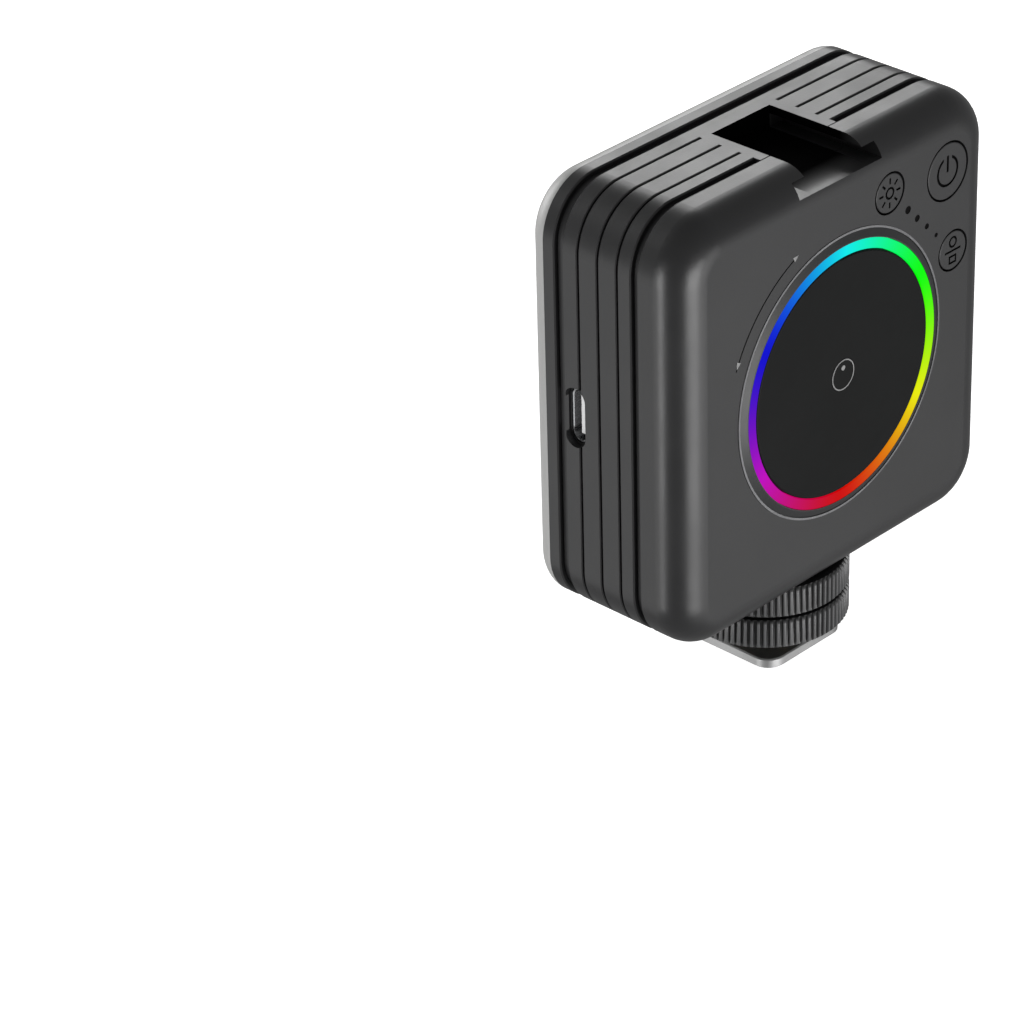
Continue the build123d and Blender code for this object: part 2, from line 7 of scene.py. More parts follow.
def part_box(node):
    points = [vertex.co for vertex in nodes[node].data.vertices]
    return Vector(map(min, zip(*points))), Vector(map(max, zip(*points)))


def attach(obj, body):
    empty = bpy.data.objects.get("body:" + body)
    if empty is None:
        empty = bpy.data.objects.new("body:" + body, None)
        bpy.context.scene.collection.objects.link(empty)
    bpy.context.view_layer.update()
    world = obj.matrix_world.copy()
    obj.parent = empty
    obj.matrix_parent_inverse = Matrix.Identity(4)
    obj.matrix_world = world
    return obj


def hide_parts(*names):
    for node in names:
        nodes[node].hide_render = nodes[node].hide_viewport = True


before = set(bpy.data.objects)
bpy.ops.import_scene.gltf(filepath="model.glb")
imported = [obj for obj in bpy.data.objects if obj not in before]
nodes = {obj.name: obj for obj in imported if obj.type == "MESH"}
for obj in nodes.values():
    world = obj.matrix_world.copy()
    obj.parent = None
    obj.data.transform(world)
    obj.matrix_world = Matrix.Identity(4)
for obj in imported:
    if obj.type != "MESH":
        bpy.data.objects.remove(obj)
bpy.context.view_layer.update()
mm = 0.001
print("frame loaded:", len(nodes), "CAD nodes")

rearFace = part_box("power_button")[1].y          # the keys are flush with the rear face
dialLow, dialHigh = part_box("dial")
bodyMiddle = (dialLow.z + dialHigh.z) / 2       # height of the dial's axis
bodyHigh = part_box("mid_housing")[1]


def linear(hexColour, alpha=1.0):
    # sRGB hex to the linear values that shaders use
    parts = [int(hexColour[i:i + 2], 16) / 255 for i in (1, 3, 5)]
    return tuple(c / 12.92 if c <= 0.04045 else ((c + 0.055) / 1.055) ** 2.4 for c in parts) + (alpha,)


def addNode(tree, kind, settings=None, links=None):
    # one node with its settings and its incoming links; a key is a property, a socket name or number
    node = tree.nodes.new(kind)
    for key, value in (settings or {}).items():
        if isinstance(key, str) and hasattr(node, key):
            setattr(node, key, value)
        else:
            node.inputs[key].default_value = value
    for key, source in (links or {}).items():
        tree.links.new(source, node.inputs[key])
    return node


def newMaterial(name, shaderSettings):
    material = bpy.data.materials.new(name)
    material.use_nodes = True
    tree = material.node_tree
    tree.nodes.clear()
    shader = addNode(tree, "ShaderNodeBsdfPrincipled", shaderSettings)
    addNode(tree, "ShaderNodeOutputMaterial", {}, {"Surface": shader.outputs["BSDF"]})
    return material, tree, shader


def perMetre(sizeMm):
    # noise scale whose cells are about this many millimetres across
    return 1 / (sizeMm * mm)


def dress(material, *names):
    for name in names:
        mesh = nodes[name].data
        mesh.materials.clear()
        mesh.materials.append(material)


def pick(thing, kind, test):
    # in edit mode, with only the vertices, edges or faces that pass the test selected
    bpy.ops.object.mode_set(mode="EDIT")
    bpy.ops.mesh.select_mode(type=kind)
    bpy.ops.mesh.select_all(action="DESELECT")
    bpy.ops.object.mode_set(mode="OBJECT")
    mesh = thing.data
    for part in {"VERT": mesh.vertices, "EDGE": mesh.edges, "FACE": mesh.polygons}[kind]:
        part.select = test(part)
    bpy.ops.object.mode_set(mode="EDIT")


def begin(addPrimitive, **settings):
    # the CAD nodes come in selected, so everything is deselected before a primitive is added
    bpy.ops.object.select_all(action="DESELECT")
    addPrimitive(**settings)
    return bpy.context.object


def applyModifier(thing, kind, **settings):
    modifier = thing.modifiers.new(kind.lower(), kind)
    for key, value in settings.items():
        setattr(modifier, key, value)
    bpy.ops.object.modifier_apply(modifier=modifier.name)


def finishPiece(thing, name, material, body, smoothAngle=35, replaced=()):
    bpy.ops.object.mode_set(mode="OBJECT")
    bpy.ops.object.select_all(action="DESELECT")
    thing.select_set(True)
    bpy.context.view_layer.objects.active = thing
    bpy.ops.object.transform_apply(location=True, rotation=True, scale=True)
    bpy.ops.object.shade_smooth_by_angle(angle=radians(smoothAngle))
    thing.name = name
    thing.data.materials.clear()
    thing.data.materials.append(material)
    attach(thing, body)
    if replaced:
        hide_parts(*replaced)
    thing.select_set(False)
    print("made", name, len(thing.data.polygons), "faces")
    return thing


def objectPlace(tree):
    return addNode(tree, "ShaderNodeTexCoord").outputs["Object"]


def objectAxes(tree):
    return addNode(tree, "ShaderNodeSeparateXYZ", {}, {"Vector": objectPlace(tree)})


def ramp(tree, source, start, end, low=0.0, high=1.0):
    # rises from low to high as the source goes from start to end
    node = addNode(tree, "ShaderNodeMapRange", {"From Min": start, "From Max": end, "To Min": low,
                                                "To Max": high}, {"Value": source})
    return node.outputs["Result"]


def product(tree, first, second):
    return addNode(tree, "ShaderNodeMath", {"operation": "MULTIPLY"}, {0: first, 1: second}).outputs[0]


def noise(tree, place, cellMm, detail, roughness=0.5):
    return addNode(tree, "ShaderNodeTexNoise", {"Scale": perMetre(cellMm), "Detail": detail,
                                                "Roughness": roughness}, {"Vector": place}).outputs["Fac"]


def twoTone(tree, shader, source, skin, start, end):
    # the base colour goes from the skin's dark tone to its light one as the source goes from start to end
    tint = addNode(tree, "ShaderNodeValToRGB", {}, {"Fac": source})
    for index, position, tone in ((0, start, "dark"), (1, end, "light")):
        tint.color_ramp.elements[index].position = position
        tint.color_ramp.elements[index].color = linear(skin[tone])
    tree.links.new(tint.outputs["Color"], shader.inputs["Base Color"])


def bumpFrom(tree, shader, height, strength, depthMm):
    bump = addNode(tree, "ShaderNodeBump", {"Strength": strength, "Distance": depthMm * mm},
                   {"Height": height})
    tree.links.new(bump.outputs["Normal"], shader.inputs["Normal"])


def mouldedPlastic(name, skin):
    # injection-moulded plastic: even colour with faint flow marks, a fine eroded grain that breaks up
    # the highlights, and slightly shinier patches where fingers have been
    material, tree, shader = newMaterial(name, {"Metallic": 0.0, "IOR": skin["ior"]})
    place = objectPlace(tree)
    twoTone(tree, shader, noise(tree, place, skin["flowMm"], 4.0), skin, 0.3, 0.7)
    rough = ramp(tree, noise(tree, place, skin["touchMm"], 6.0, 0.6), 0.35, 0.65,
                 skin["roughness"] - skin["roughSpread"], skin["roughness"] + skin["roughSpread"])
    tree.links.new(rough, shader.inputs["Roughness"])
    bumpFrom(tree, shader, noise(tree, place, skin["grainMm"], 2.0), skin["grainStrength"],
             skin["grainDepthMm"])
    return material, tree, shader


plainShine = 0.5     # the shader's own specular level
# the shine of the painted shade in the shoe slot and on the keys
paintedShadeShine = 0.02


def mixTint(tree, shader, mask, hexColour, shine=plainShine):
    # lays a second colour, with its own shine, over the base colour where the mask is one
    if shine != plainShine:
        tree.links.new(ramp(tree, mask, 0, 1, plainShine, shine), shader.inputs["Specular IOR Level"])
    base = shader.inputs["Base Color"].links[0].from_socket
    mix = addNode(tree, "ShaderNodeMix", {"data_type": "RGBA"})
    mix.inputs[7].default_value = linear(hexColour)
    tree.links.new(mask, mix.inputs[0])
    tree.links.new(base, mix.inputs[6])
    tree.links.new(mix.outputs[2], shader.inputs["Base Color"])


# the shell sets the pattern and the others change what differs; the grain is drawn three times as
# coarse as a real one
shellSkin = {"dark": "#1D1D1E", "light": "#222223", "ior": 1.50, "flowMm": 22, "touchMm": 9,
             "roughness": 0.36, "roughSpread": 0.03,
             "grainMm": 0.28, "grainStrength": 0.35, "grainDepthMm": 0.02}
keySkin = dict(shellSkin, roughness=0.38)
# the wheel and the indicator lenses have an index below their plastic's 1.5, so that they stay black
dialSkin = dict(shellSkin, dark="#0A0B0B", light="#0E0F0F", ior=1.2, roughness=0.48, grainMm=0.4,
                grainStrength=0.12)
bezelSkin = dict(shellSkin, dark="#1A1B1C", light="#1E1F20", roughness=0.42, roughSpread=0.04,
                 grainStrength=0.05)
# the nut's lighter ridge tone is a painted highlight
nutSkin = dict(shellSkin, dark="#101010", light="#161617", ridgeHighlight="#4A4A4B", roughness=0.38, grainMm=0.35)
innerSkin = dict(shellSkin, roughness=0.5)
windowSkin = dict(shellSkin, dark="#020202", light="#040404", ior=1.12, roughness=0.5, roughSpread=0.02,
                  grainStrength=0.02)
chipSkin = dict(shellSkin, dark="#101011", light="#141415", roughness=0.45)
traySkin = dict(shellSkin, dark="#E4E4E2", light="#EEEEEC", roughness=0.4)
rubberSkin = dict(shellSkin, dark="#0D0D0D", light="#121212", ior=1.52, roughness=0.75, grainMm=0.25)
greenMaskSkin = dict(shellSkin, dark="#0C3A22", light="#11492C", ior=1.55, roughness=0.3, flowMm=3,
                     grainMm=0.6)
whiteMaskSkin = dict(shellSkin, dark="#DEDFDD", light="#ECECEA", ior=1.55, roughness=0.35, flowMm=6)
phosphorSkin = dict(shellSkin, dark="#C9A52A", light="#E2C452", roughness=0.4, flowMm=0.8)
connectorSkin = dict(shellSkin, dark="#F0F0F0", light="#FAFAFA", roughness=0.3, flowMm=3,
                     grainStrength=0.02)

# mm; the painted shade fades into the shell between the two fade depths
shoeSlot = {"halfMouth": 6.45, "front": -5.0, "depth": 3.62, "fadeFrom": 8.5, "fadeTo": 13.5,
            "edge": 0.02}
# painted shade: the keys are painted black between these depths below the rear face
keyShadeDepth = {"full": 0.14, "none": 0.10}      # mm below the rear face


def shellAbsWithPaintedSlotShade():
    # satin shell with painted shade inside the shoe slot: near black and matt, as deep shade looks in any
    # light
    material, tree, shader = mouldedPlastic("satinMouldedAbs", shellSkin)
    axes = objectAxes(tree)
    width = addNode(tree, "ShaderNodeMath", {"operation": "ABSOLUTE"}, {0: axes.outputs["X"]}).outputs[0]
    half, edge = shoeSlot["halfMouth"] * mm, shoeSlot["edge"] * mm
    inside = ramp(tree, width, half, half + edge, 1, 0)
    floorHeight = bodyHigh.z - shoeSlot["depth"] * mm
    inside = product(tree, inside, ramp(tree, axes.outputs["Z"], floorHeight, floorHeight + edge))
    inside = product(tree, inside, ramp(tree, axes.outputs["Y"], shoeSlot["front"] * mm,
                                        shoeSlot["front"] * mm + edge))
    inside = product(tree, inside, ramp(tree, axes.outputs["Y"], shoeSlot["fadeFrom"] * mm,
                                        shoeSlot["fadeTo"] * mm, 1, 0))
    # painted shade: the slot's inside gets a near-black colour and little shine
    mixTint(tree, shader, inside, "#020202", paintedShadeShine)
    rough = shader.inputs["Roughness"].links[0].from_socket
    matt = addNode(tree, "ShaderNodeMix", {"data_type": "FLOAT"}, {0: inside, 2: rough})
    matt.inputs[3].default_value = 1.0
    tree.links.new(matt.outputs[0], shader.inputs["Roughness"])
    return material


def keyAbsWithPaintedShade():
    # the icon is moulded into the key; its floor and the key's sides in their gap are painted black below
    # the rear
    #     # face: painted shade
    material, tree, shader = mouldedPlastic("satinKeyAbs", keySkin)
    full, none = rearFace - keyShadeDepth["full"] * mm, rearFace - keyShadeDepth["none"] * mm
    depth = ramp(tree, objectAxes(tree).outputs["Y"], full, none, 1, 0)
    # painted shade on the icon's floor and on the key's sides in the gap round it
    mixTint(tree, shader, depth, "#020202", paintedShadeShine)
    return material


shellAbs = shellAbsWithPaintedSlotShade()
keyAbs = keyAbsWithPaintedShade()
dialAbs = mouldedPlastic("smoothDialAbs", dialSkin)[0]
bezelAbs = mouldedPlastic("satinBezelAbs", bezelSkin)[0]
# painted highlight on the ridges and painted shade in the grooves, blended between these radii
nutPaintedLight = {"groove": 12.62, "ridge": 12.9}      # mm from the axis


def nylonWithPaintedLight():
    # glass-filled nylon: the ridge tops are painted lighter as a painted highlight, the grooves stay dark
    # as painted shade
    material, tree, shader = mouldedPlastic("knurledNylonPaintedLight", nutSkin)
    axes = objectAxes(tree)
    flat = addNode(tree, "ShaderNodeCombineXYZ", {}, {"X": axes.outputs["X"], "Y": axes.outputs["Y"]})
    radius = addNode(tree, "ShaderNodeVectorMath", {"operation": "LENGTH"},
                     {0: flat.outputs[0]}).outputs["Value"]
    # painted light: lighter on the ridge tops, darker down in the grooves
    mixTint(tree, shader, ramp(tree, radius, nutPaintedLight["groove"] * mm, nutPaintedLight["ridge"] * mm),
            nutSkin["ridgeHighlight"])
    return material


nutNylon = nylonWithPaintedLight()
innerAbs = mouldedPlastic("innerAbs", innerSkin)[0]
smokedAcrylic = mouldedPlastic("smokedAcrylic", windowSkin)[0]
chipEpoxy = mouldedPlastic("chipEpoxy", chipSkin)[0]
trayPolycarbonate = mouldedPlastic("trayPolycarbonate", traySkin)[0]
padRubber = mouldedPlastic("padRubber", rubberSkin)[0]
greenMask = mouldedPlastic("greenSolderMask", greenMaskSkin)[0]
whiteMask = mouldedPlastic("whiteSolderMask", whiteMaskSkin)[0]
ledPhosphor = mouldedPlastic("ledPhosphor", phosphorSkin)[0]
connectorNylon = mouldedPlastic("whiteConnectorNylon", connectorSkin)[0]
print("plastics mixed")

dress(shellAbs, "rear_cover", "mid_housing", "front_frame")
dress(keyAbs, "power_button", "light_button", "mode_button")
dress(dialAbs, "dial", "dial_badge")
dress(bezelAbs, "dial_bezel")
dress(nutNylon, "lower_nut", "upper_nut")
dress(innerAbs, "dial_carrier")
dress(smokedAcrylic, *[n for n in nodes if n.startswith("indicator_lens")])
dress(connectorNylon, "usb_tongue")
dress(chipEpoxy, "main_board_parts", *[n for n in nodes if n.startswith("tact_switch")])
dress(trayPolycarbonate, "reflector_tray")
dress(padRubber, "nut_pad", "battery_tape")
dress(greenMask, "control_board", "main_board")
dress(whiteMask, "led_board")
dress(ledPhosphor, "white_leds", "color_leds", "ring_leds", "indicator_leds")


metalLines = {"roughSpread": 0.06, "depthMm": 0.01}


def turnedMetal(name, metal):
    # lathe-turned or drawn metal: fine rings across one axis, with a little tarnish between them
    material, tree, shader = newMaterial(name, {"Metallic": 1.0})
    place = objectPlace(tree)
    stretch = addNode(tree, "ShaderNodeMapping", {"vector_type": "POINT", "Scale": metal["stretch"]},
                      {"Vector": place})
    lines = noise(tree, stretch.outputs["Vector"], metal["lineMm"], 3.0)
    twoTone(tree, shader, noise(tree, place, metal["stainMm"], 5.0), metal, 0.35, 0.65)
    spread = metalLines["roughSpread"]
    rough = ramp(tree, lines, 0.3, 0.7, metal["roughness"] - spread, metal["roughness"] + spread)
    tree.links.new(rough, shader.inputs["Roughness"])
    bumpFrom(tree, shader, lines, metal["lineStrength"], metalLines["depthMm"])
    return material


footAluminium = turnedMetal("greyAnodisedAluminium", {
    "dark": "#989898", "light": "#A6A6A6", "roughness": 0.5,
    "lineMm": 0.3, "stretch": (0.05, 1.0, 1.0), "stainMm": 6, "lineStrength": 0.2})
trimChrome = turnedMetal("trimChrome", {
    "dark": "#7C7C7E", "light": "#8C8C8E", "roughness": 0.35,
    "lineMm": 0.5, "stretch": (1.0, 1.0, 1.0), "stainMm": 8, "lineStrength": 0.05})
platedSteel = turnedMetal("platedSteel", {
    "dark": "#9A9B9D", "light": "#B4B5B7", "roughness": 0.28,
    "lineMm": 0.25, "stretch": (0.1, 1.0, 1.0), "stainMm": 4, "lineStrength": 0.1})
studSteel = turnedMetal("blackenedSteel", {
    "dark": "#5A5B5D", "light": "#77787A", "roughness": 0.32,
    "lineMm": 0.25, "stretch": (1.0, 1.0, 0.2), "stainMm": 3, "lineStrength": 0.1})
bushBrass = turnedMetal("turnedBrass", {
    "dark": "#A8873E", "light": "#C2A054", "roughness": 0.3,
    "lineMm": 0.2, "stretch": (0.1, 0.1, 1.0), "stainMm": 3, "lineStrength": 0.15})
batteryFoil = turnedMetal("batteryFoil", {
    "dark": "#A4A6A9", "light": "#BCBEC1", "roughness": 0.38,
    "lineMm": 1.5, "stretch": (1.0, 1.0, 0.3), "stainMm": 10, "lineStrength": 0.4})
dress(footAluminium, "shoe_foot")
dress(trimChrome, "dial_trim_ring")
dress(platedSteel, "usb_connector", "encoder_shaft", "encoder_body", *[n for n in nodes if "screw" in n])
dress(studSteel, "shoe_stud")
dress(bushBrass, "tripod_insert", "lower_nut_bush", "upper_nut_bush")
dress(batteryFoil, "battery_pack")
print("metals mixed")


# pad-printed ink: light grey, with the slight mottle of a thin coat
inkSkin = dict(shellSkin, dark="#7E7E7E", light="#8C8C8C", roughness=0.5, flowMm=1.5,
               grainStrength=0.05)
greyInk = mouldedPlastic("printedInk", inkSkin)[0]

# a mid grey that stands in for the shade on the rim in the render: a real diffuser is most likely white
opalSkin = {"dark": "#A8A8A7", "light": "#AEAEAD", "cloudMm": 18, "sinkMm": 1.5, "smoothest": 0.34,
            "roughest": 0.46, "frostMm": 0.3, "frostStrength": 0.15, "frostDepthMm": 0.01}


def opalPolycarbonate():
    # opal polycarbonate: milky, with a satin skin and light that sinks in a little at the edges
    material, tree, shader = newMaterial("opalPolycarbonate", {
        "IOR": 1.58, "Subsurface Weight": 0.35, "Subsurface Radius": (0.9, 0.9, 0.9),
        "Subsurface Scale": opalSkin["sinkMm"] * mm})
    place = objectPlace(tree)
    twoTone(tree, shader, noise(tree, place, opalSkin["cloudMm"], 4.0), opalSkin, 0.3, 0.7)
    frost = noise(tree, place, opalSkin["frostMm"], 2.0)
    rough = ramp(tree, frost, 0, 1, opalSkin["smoothest"], opalSkin["roughest"])
    tree.links.new(rough, shader.inputs["Roughness"])
    bumpFrom(tree, shader, frost, opalSkin["frostStrength"], opalSkin["frostDepthMm"])
    return material


dress(opalPolycarbonate(), "diffuser")


# startHue and swingFrom in degrees, the rest from 0 to 1
ringGlow = {"startHue": 181, "saturation": 0.95, "brightness": 0.86, "swing": 0.12, "swingFrom": 60,
            "strength": 1.0}


def litAcrylic():
    # edge-lit acrylic: the colours run once round the wheel, a little dimmer on the blue side, and its
    # own shine is kept low so that the boxes don't wash them out
    material, tree, shader = newMaterial("litAcrylic", {
        "IOR": 1.3, "Roughness": 0.6, "Specular IOR Level": 0.05,
        "Emission Strength": ringGlow["strength"]})
    shader.inputs["Base Color"].default_value = linear("#0A0A0A")
    centred = addNode(tree, "ShaderNodeMapping", {"Location": (0, 0, -bodyMiddle)},
                      {"Vector": objectPlace(tree)})
    axes = addNode(tree, "ShaderNodeSeparateXYZ", {}, {"Vector": centred.outputs["Vector"]})
    fromRear = addNode(tree, "ShaderNodeMath", {"operation": "MULTIPLY", 1: -1.0}, {0: axes.outputs["X"]})
    angle = addNode(tree, "ShaderNodeMath", {"operation": "ARCTAN2"},
                    {0: fromRear.outputs[0], 1: axes.outputs["Z"]})
    turn = addNode(tree, "ShaderNodeMath", {"operation": "MULTIPLY_ADD", 1: -1 / (2 * pi),
                                            2: ringGlow["startHue"] / 360 + 1},
                   {0: angle.outputs[0]})
    hue = addNode(tree, "ShaderNodeMath", {"operation": "FRACT"}, {0: turn.outputs[0]})
    shifted = addNode(tree, "ShaderNodeMath", {"operation": "SUBTRACT",
                                               1: radians(ringGlow["swingFrom"])}, {0: angle.outputs[0]})
    swing = addNode(tree, "ShaderNodeMath", {"operation": "COSINE"}, {0: shifted.outputs[0]})
    value = addNode(tree, "ShaderNodeMath", {"operation": "MULTIPLY_ADD", 1: ringGlow["swing"],
                                             2: ringGlow["brightness"]},
                    {0: swing.outputs[0]})
    colour = addNode(tree, "ShaderNodeCombineColor", {"mode": "HSV", 1: ringGlow["saturation"]},
                     {0: hue.outputs[0], 2: value.outputs[0]})
    asLight = addNode(tree, "ShaderNodeGamma", {"Gamma": 2.2}, {"Color": colour.outputs["Color"]})
    tree.links.new(asLight.outputs["Color"], shader.inputs["Emission Color"])
    return material


dress(litAcrylic(), "ring_light_guide")
print("diffuser and light ring mixed")


# mm, and counts of teeth and of mesh columns in each tooth
nutShape = {"teeth": 80, "flute": 0.6, "chamfer": 0.45, "edge": 0.04, "ridgeColumns": 2, "columns": 6}
capFacing, capCorners = 0.99, 100       # a flat end faces along the axis and is no mere quad
wallShare = 0.995                       # of the radius: what lies beyond it is the straight wall


def knurledNut(name, node, body, steps):
    # a ring with straight grooves all round, stepped down towards its threaded bore on either side
    low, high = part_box(node)
    radius, middle, height = high.x, (low.z + high.z) / 2, high.z - low.z
    columns = nutShape["teeth"] * nutShape["columns"]
    chamfer = nutShape["chamfer"] * mm
    nut = begin(bpy.ops.mesh.primitive_cylinder_add, vertices=columns, radius=radius,
                depth=height - 2 * chamfer, location=(0, 0, middle), end_fill_type="NGON")
    bpy.ops.object.transform_apply(location=True)
    for side in (1, -1):
        pick(nut, "FACE", lambda face: face.normal.z * side > capFacing)
        bpy.ops.mesh.extrude_region_move(TRANSFORM_OT_translate={"value": (0, 0, side * chamfer)})
        bpy.ops.transform.resize(value=(1 - chamfer / radius, 1 - chamfer / radius, 1),
                                 center_override=(0, 0, middle))

    def inGroove(vertex):
        # the straight part only, so every groove runs out through the chamfers
        if Vector(vertex.co.xy).length < radius * wallShare:
            return False
        column = round((math.atan2(vertex.co.y, vertex.co.x) + pi) / (2 * pi) * columns)
        return column % nutShape["columns"] > nutShape["ridgeColumns"]

    pick(nut, "VERT", inGroove)
    pull = 1 - nutShape["flute"] * mm / radius
    bpy.ops.transform.resize(value=(pull, pull, 1), center_override=(0, 0, middle))
    for side, sideSteps in steps.items():
        pick(nut, "FACE", lambda face: face.normal.z * side > capFacing
             and len(face.vertices) > capCorners)
        reach = radius - chamfer
        for stepRadius, depth in sideSteps:
            bpy.ops.mesh.inset(thickness=reach - stepRadius * mm, depth=0)
            reach = stepRadius * mm
            if depth:
                sink = (0, 0, -side * depth * mm)
                bpy.ops.mesh.extrude_region_move(TRANSFORM_OT_translate={"value": sink})
    # the two faces left at the bore become one open hole
    pick(nut, "FACE", lambda face: abs(face.normal.z) > capFacing and len(face.vertices) > capCorners
         and Vector(face.center.xy).length < 0.1 * mm)
    bpy.ops.mesh.bridge_edge_loops()
    bpy.ops.mesh.select_all(action="SELECT")
    bpy.ops.mesh.remove_doubles(threshold=0.001 * mm)
    bpy.ops.mesh.normals_make_consistent(inside=False)
    bpy.ops.object.mode_set(mode="OBJECT")
    applyModifier(nut, "BEVEL", width=nutShape["edge"] * mm, segments=2, limit_method="ANGLE",
                  angle_limit=radians(28))
    return finishPiece(nut, name, nutNylon, body, replaced=(node,))


# 1/4 inch, 20 to the inch, in mm; the thread starts this far down inside the foot
threadShape = {"pitch": 1.27, "outer": 3.17, "core": 2.45, "flat": 0.16, "sunk": 0.5}


def threadedStud():
    # the thread is cut from just inside the foot up to the stud's top
    low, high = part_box("shoe_stud")
    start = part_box("shoe_foot")[1].z - threadShape["sunk"] * mm
    pitch, outer, core = (threadShape[key] * mm for key in ("pitch", "outer", "core"))
    flat = threadShape["flat"] * mm
    profile = [(core, 0), (outer, pitch / 2 - flat), (outer, pitch / 2 + flat), (core, pitch)]
    # a circle with one vertex too many leaves an open chain when that one is deleted
    stud = begin(bpy.ops.mesh.primitive_circle_add, vertices=len(profile) + 1, radius=outer,
                 location=(0, 0, 0))
    pick(stud, "VERT", lambda vertex: vertex.index >= len(profile))
    bpy.ops.mesh.delete(type="VERT")
    bpy.ops.object.mode_set(mode="OBJECT")
    for vertex, (radius, rise) in zip(stud.data.vertices, profile):
        vertex.co = (radius, 0, start - pitch + rise)
    turns = math.ceil((high.z - start) / pitch) + 2
    applyModifier(stud, "SCREW", axis="Z", angle=2 * pi, steps=48, render_steps=48, screw_offset=pitch,
                  iterations=turns, use_merge_vertices=True, merge_threshold=0.001 * mm,
                  use_smooth_shade=True)
    for plane, cutAway in ((max(low.z, start), "below"), (high.z, "above")):
        bpy.ops.object.mode_set(mode="EDIT")
        bpy.ops.mesh.select_mode(type="VERT")
        bpy.ops.mesh.select_all(action="SELECT")
        bpy.ops.mesh.bisect(plane_co=(0, 0, plane), plane_no=(0, 0, 1), use_fill=True,
                            clear_inner=cutAway == "below", clear_outer=cutAway == "above")
    bpy.ops.mesh.select_all(action="SELECT")
    bpy.ops.mesh.normals_make_consistent(inside=False)
    bpy.ops.object.mode_set(mode="OBJECT")
    return finishPiece(stud, "threaded_stud", studSteel, "base", smoothAngle=50,
                       replaced=("shoe_stud",))


# radius and depth in mm of each step from the rim to the bore, on the top (1) and on the underside (-1)
clampingSteps = {1: [(4.46, 0)], -1: [(9.2, 1.8), (5.6, -1.0), (4.46, 0)]}
lockingSteps = {1: [(10.5, 0.6), (6.5, -0.6), (4.46, 0)], -1: [(4.46, 0)]}
knurledNut("clamping_nut", "lower_nut", "lower_wheel", clampingSteps)
knurledNut("locking_nut", "upper_nut", "upper_wheel", lockingSteps)
threadedStud()

# mm
printMark = {"ringRadius": 2.4, "ringWidth": 0.1, "height": 0.03, "dotRadius": 0.42, "dotReach": 1.15}


def badgePrint():
    # a thin light ring with one pointer dot in it, printed at the centre of the wheel
    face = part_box("dial_badge")[1].y
    ring = begin(bpy.ops.mesh.primitive_torus_add, major_segments=72, minor_segments=8,
                 major_radius=printMark["ringRadius"] * mm, minor_radius=printMark["ringWidth"] * mm,
                 location=(0, face, bodyMiddle), rotation=(pi / 2, 0, 0))
    bpy.ops.object.transform_apply(location=True, rotation=True)
    bpy.ops.object.mode_set(mode="EDIT")
    bpy.ops.mesh.select_all(action="SELECT")
    bpy.ops.transform.resize(value=(1, printMark["height"] / printMark["ringWidth"], 1),
                             center_override=(0, face, bodyMiddle))
    bpy.ops.object.mode_set(mode="OBJECT")
    finishPiece(ring, "badge_ring_print", greyInk, "dial")
    dot = begin(bpy.ops.mesh.primitive_uv_sphere_add, segments=24, ring_count=10,
                radius=printMark["dotRadius"] * mm,
                location=(0, face, bodyMiddle + printMark["dotReach"] * mm))
    bpy.ops.object.transform_apply(location=True)
    bpy.ops.object.mode_set(mode="EDIT")
    bpy.ops.mesh.select_all(action="SELECT")
    bpy.ops.transform.resize(value=(1, printMark["height"] / printMark["dotRadius"], 1),
                             center_override=(0, face, bodyMiddle))
    bpy.ops.object.mode_set(mode="OBJECT")
    finishPiece(dot, "badge_dot_print", greyInk, "dial")


# mm, degrees seen from behind, and the share of its length by which an arrow is set on past its end
arrowShape = {"arcRadius": 25.3, "ends": (115, 154), "length": 1.1, "width": 0.9, "height": 0.02,
              "edge": 0.008, "ahead": 0.3}


def arrowPrint(name, endAngle, turn):
    # a small printed triangle that points on along the arc
    arrow = begin(bpy.ops.mesh.primitive_cylinder_add, vertices=3, radius=0.5, depth=1,
                  location=(0, 0, 0))
    bpy.ops.object.mode_set(mode="EDIT")
    bpy.ops.mesh.select_all(action="SELECT")
    # the triangle in a circle of radius 0.5 is 0.866 wide and 0.75 long
    wide, long = arrowShape["width"] * mm / 0.866, arrowShape["length"] * mm / 0.75
    bpy.ops.transform.resize(value=(wide, long, 2 * arrowShape["height"] * mm), center_override=(0, 0, 0))
    bpy.ops.mesh.bevel(offset=arrowShape["edge"] * mm, segments=2)
    bpy.ops.object.mode_set(mode="OBJECT")
    # the arrow's tip is along +Y, and seen from behind, x runs the other way
    angle = radians(endAngle)
    centre = Vector((-cos(angle), 0, sin(angle))) * arrowShape["arcRadius"] * mm
    heading = Vector((sin(angle), 0, cos(angle))) * turn
    side = heading.cross(Vector((0, 1, 0)))
    frameAxes = Matrix((side, heading, (0, 1, 0))).transposed().to_4x4()
    centre += heading * arrowShape["length"] * mm * arrowShape["ahead"]
    arrow.matrix_world = Matrix.Translation(centre + Vector((0, rearFace, bodyMiddle))) @ frameAxes
    finishPiece(arrow, name, greyInk, "light")


badgePrint()
arrowPrint("turn_arrow_upper", arrowShape["ends"][0], -1)
arrowPrint("turn_arrow_lower", arrowShape["ends"][1], 1)

# sizes in metres, glow and ambient as light strengths
stage = {"floorSize": 6.0, "floorGlow": 0.9, "domeRadius": 3.0, "domeGlow": 1.05, "ambient": 0.30}


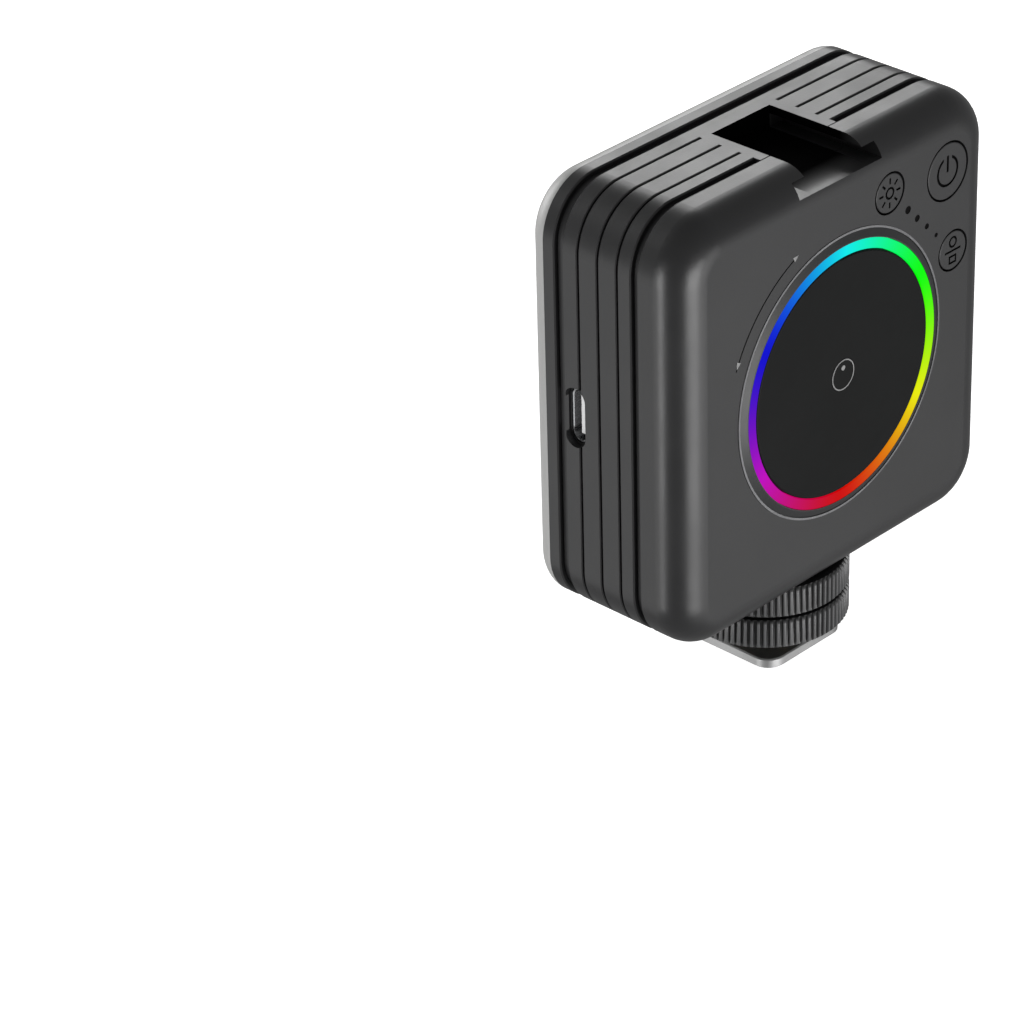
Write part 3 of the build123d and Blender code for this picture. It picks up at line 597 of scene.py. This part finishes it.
def buildStage():
    floor = begin(bpy.ops.mesh.primitive_plane_add, size=stage["floorSize"], location=(0, 0, 0))
    floor.name = "paperFloor"
    material, tree, shader = newMaterial("whitePaper",
                                         {"Roughness": 0.9, "Emission Strength": stage["floorGlow"]})
    shader.inputs["Base Color"].default_value = linear("#F4F4F4")
    shader.inputs["Emission Color"].default_value = linear("#FFFFFF")
    floor.data.materials.append(material)
    # it glows by itself for the camera only: it lights nothing, shows in no reflection and blocks none
    # of the light from the boxes below it
    floor.visible_glossy = floor.visible_diffuse = floor.visible_shadow = False

    # a glowing dome behind everything, seen only by the camera
    dome = begin(bpy.ops.mesh.primitive_ico_sphere_add, subdivisions=5, radius=stage["domeRadius"],
                 location=(0, 0, 0))
    dome.name = "paperDome"
    glow, tree, shader = newMaterial("glowingPaper",
                                     {"Roughness": 1.0, "Emission Strength": stage["domeGlow"]})
    shader.inputs["Base Color"].default_value = linear("#000000")
    shader.inputs["Emission Color"].default_value = linear("#FFFFFF")
    dome.data.materials.append(glow)
    dome.visible_glossy = dome.visible_diffuse = dome.visible_shadow = False

    world = bpy.data.worlds.new("studio")
    bpy.context.scene.world = world
    world.use_nodes = True
    world.node_tree.nodes["Background"].inputs["Color"].default_value = linear("#FFFFFF")
    world.node_tree.nodes["Background"].inputs["Strength"].default_value = stage["ambient"]


# places and sizes in metres, powers in watts; each box faces the middle of the light
softboxes = {
    "rearBox": {"place": (0.10, 0.90, -0.20), "size": (0.60, 0.6), "power": 7.5},
    "rearFade": {"place": (-0.40, 0.80, -0.20), "size": (0.30, 0.6), "power": 1.3},
    "rearSheen": {"place": (-0.27, 0.28, -0.17), "size": (0.20, 0.34), "power": 0.08},
    "sideBox": {"place": (0.86, -0.16, -0.15), "size": (0.20, 0.6), "power": 3.4},
    "sideSheen": {"place": (0.67, -0.60, -0.42), "size": (0.5, 0.6), "power": 0.8},
    "topBox": {"place": (-0.72, -0.72, 0.52), "size": (0.4, 0.4), "power": 2.4},
    "frontBox": {"place": (0.15, -1.0, 0.35), "size": (0.7, 0.7), "power": 6.0},
}


def aimAt(thing, target):
    thing.rotation_mode = "QUATERNION"
    thing.rotation_quaternion = (Vector(target) - thing.location).to_track_quat("-Z", "Y")


def hangLights():
    for name, box in softboxes.items():
        light = bpy.data.lights.new(name, "AREA")
        light.shape = "RECTANGLE"
        light.size, light.size_y = box["size"]
        light.energy = box["power"]
        lamp = bpy.data.objects.new(name, light)
        bpy.context.scene.collection.objects.link(lamp)
        lamp.location = box["place"]
        lamp.visible_camera = False
        aimAt(lamp, (0, 0, bodyMiddle))


# mm, and degrees for the roll
camera = {"place": (455.50, 392.56, 373.83), "aim": (35.90, -18.75, 29.64), "roll": -1.635,
          "lens": 160.55}


def placeCamera():
    # the lens looks past the light's lower left, so the light stands in the upper right of the frame
    data = bpy.data.cameras.new("camera")
    data.sensor_width = 36
    data.lens = camera["lens"]
    data.clip_start, data.clip_end = 0.01, 20
    eye = bpy.data.objects.new("camera", data)
    bpy.context.scene.collection.objects.link(eye)
    eye.location = Vector(camera["place"]) * mm
    eye.rotation_mode = "QUATERNION"
    look = (Vector(camera["aim"]) * mm - eye.location).to_track_quat("-Z", "Y")
    eye.rotation_quaternion = look @ Matrix.Rotation(radians(camera["roll"]), 4, "Z").to_quaternion()
    bpy.context.scene.camera = eye


buildStage()
hangLights()
placeCamera()
bpy.context.scene.view_settings.view_transform = "Standard"
print("stage set")
